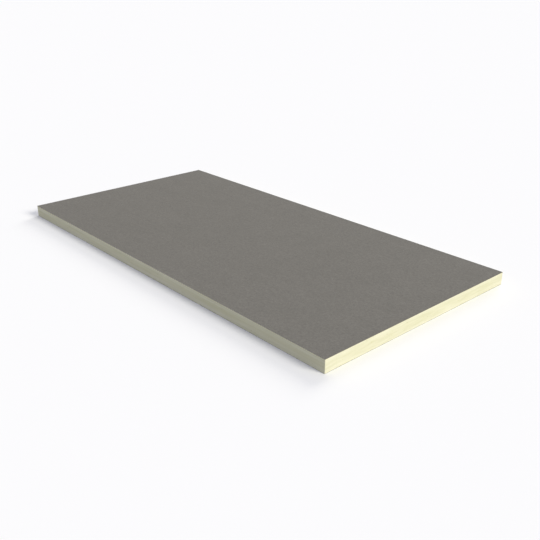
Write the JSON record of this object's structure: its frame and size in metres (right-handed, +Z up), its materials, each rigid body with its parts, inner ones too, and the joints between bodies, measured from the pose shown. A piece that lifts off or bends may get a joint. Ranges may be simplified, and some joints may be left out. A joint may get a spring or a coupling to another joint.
{
  "type": "polyiso insulation board",
  "caption": "Rigid rectangular roof insulation board, a cream closed-cell foam core laminated between grey felt facers, with square-cut edges that butt against the next board.",
  "frame": {"origin": "middle of the underside, the face that rests on the roof deck", "axes": "+X along the board's length, +Y across its width, +Z up through its thickness, towards the weather side"},
  "size_m": [2.4384, 1.2192, 0.0635],
  "materials": {
    "foam": "matte",
    "facer": "matte"
  },
  "bodies": {
    "root": {"foam_core": "foam", "bottom_facer": "facer", "top_facer": "facer"}
  },
  "joints": []
}
